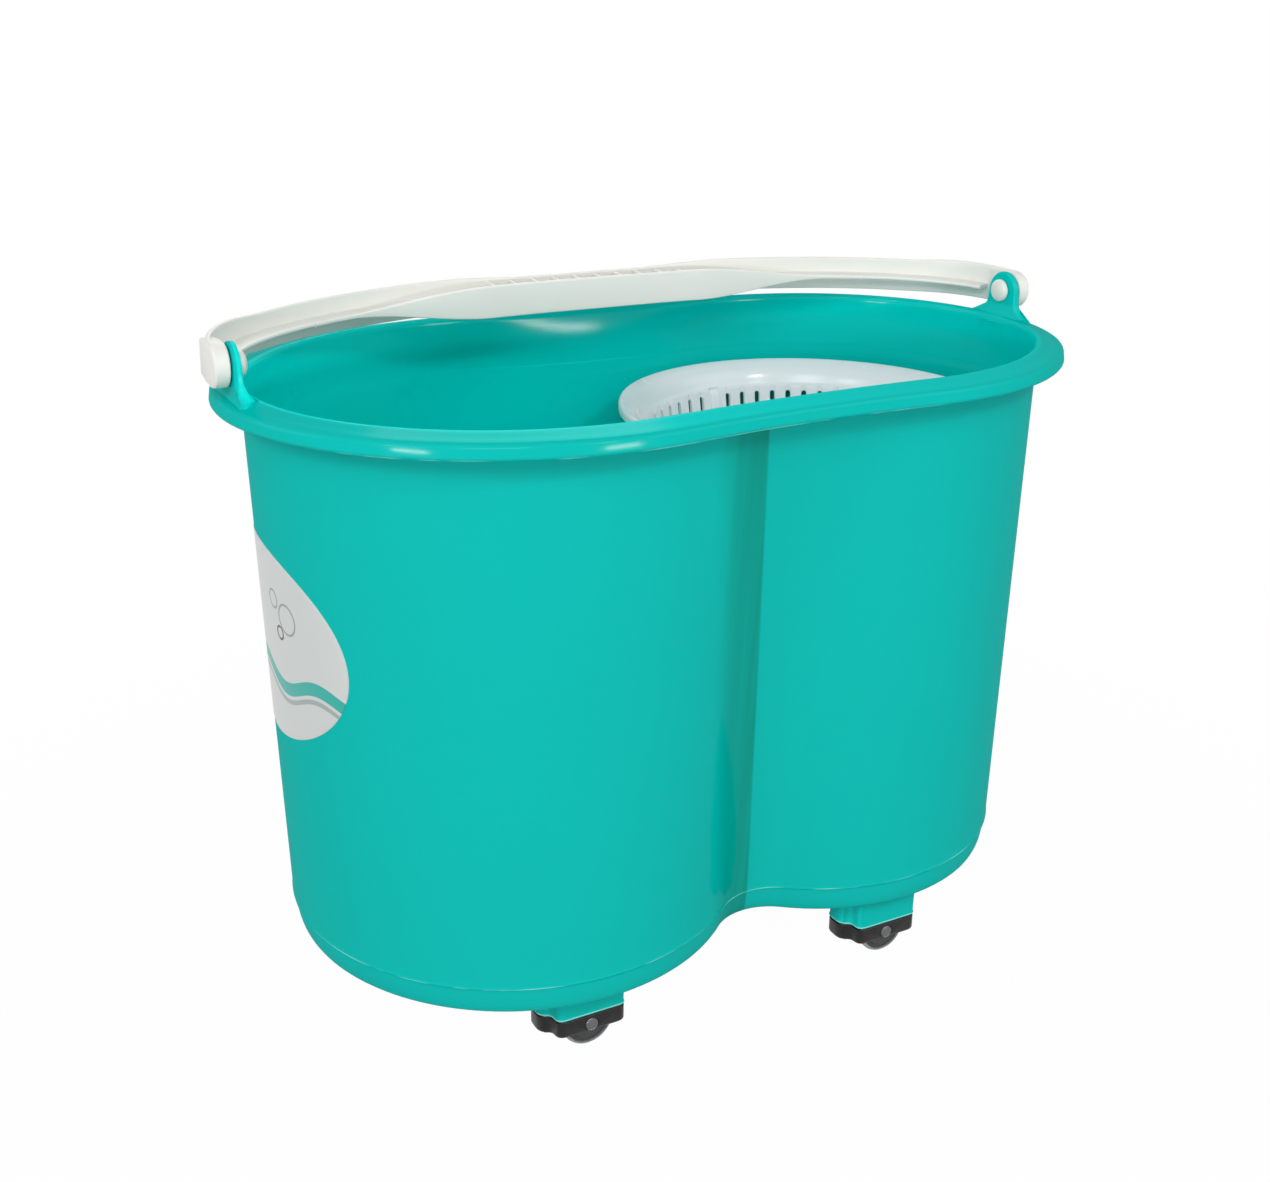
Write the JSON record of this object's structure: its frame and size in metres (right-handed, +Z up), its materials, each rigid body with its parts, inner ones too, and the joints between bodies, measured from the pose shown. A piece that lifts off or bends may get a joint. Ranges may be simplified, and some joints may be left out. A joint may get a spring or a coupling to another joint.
{
  "type": "spin mop bucket",
  "caption": "Twin-lobe spin mop bucket on castors, with a folding bail handle and a slotted wringer basket that spins freely on a central spindle.",
  "frame": {"origin": "on the floor under the centre of the bucket, midway between the castors", "axes": "+X along the bucket towards the basket lobe, +Z up, +Y towards the side the handle folds down on"},
  "size_m": [0.47, 0.2698, 0.3595],
  "materials": {
    "teal_plastic": "glossy injection-moulded polypropylene",
    "white_plastic": "satin white moulded polypropylene",
    "basket_plastic": "glossy cool-white moulded polypropylene",
    "black_plastic": "semi-gloss black moulded nylon",
    "wheel_plastic": "worn dark grey hard plastic",
    "seal_rubber": "black rubber",
    "zinc_steel": "zinc-plated steel"
  },
  "bodies": {
    "bucket": {"bucket_shell": "teal_plastic", "spindle_bolt": "zinc_steel", "spindle_seal": "seal_rubber", "spindle_nut": "zinc_steel", "thrust_washer": "zinc_steel", "top_washer": "zinc_steel", "retaining_nut": "zinc_steel", "castor_housing_front_left": "black_plastic", "castor_housing_front_right": "black_plastic", "castor_housing_rear_left": "black_plastic", "castor_housing_rear_right": "black_plastic", "castor_axle_front_left": "zinc_steel", "castor_axle_front_right": "zinc_steel", "castor_axle_rear_left": "zinc_steel", "castor_axle_rear_right": "zinc_steel"},
    "handle": {"handle_bail": "white_plastic", "handle_pin_left": "white_plastic", "handle_pin_right": "white_plastic"},
    "basket": {"spin_basket": "basket_plastic", "drive_hub": "white_plastic", "hub_bush": "white_plastic", "hub_cap": "white_plastic"},
    "wheel_front_left": {"castor_wheel_front_left": "wheel_plastic"},
    "wheel_front_right": {"castor_wheel_front_right": "wheel_plastic"},
    "wheel_rear_left": {"castor_wheel_rear_left": "wheel_plastic"},
    "wheel_rear_right": {"castor_wheel_rear_right": "wheel_plastic"}
  },
  "joints": [
    {"name": "handle_swing", "type": "hinge", "parent": "bucket", "child": "handle", "pos_m": [0, 0, 0.3457], "axis": [1, 0, 0], "range_deg": [0, 173]},
    {"name": "basket_spin", "type": "hinge", "parent": "bucket", "child": "basket", "pos_m": [0.094, 0, 0.2], "axis": [0, 0, 1], "continuous": true},
    {"name": "roll_front_left", "type": "hinge", "parent": "bucket", "child": "wheel_front_left", "pos_m": [-0.091, -0.0888, 0.014], "axis": [0, 1, 0], "continuous": true},
    {"name": "roll_front_right", "type": "hinge", "parent": "bucket", "child": "wheel_front_right", "pos_m": [0.091, -0.0888, 0.014], "axis": [0, 1, 0], "continuous": true},
    {"name": "roll_rear_left", "type": "hinge", "parent": "bucket", "child": "wheel_rear_left", "pos_m": [-0.091, 0.0888, 0.014], "axis": [0, 1, 0], "continuous": true},
    {"name": "roll_rear_right", "type": "hinge", "parent": "bucket", "child": "wheel_rear_right", "pos_m": [0.091, 0.0888, 0.014], "axis": [0, 1, 0], "continuous": true}
  ]
}
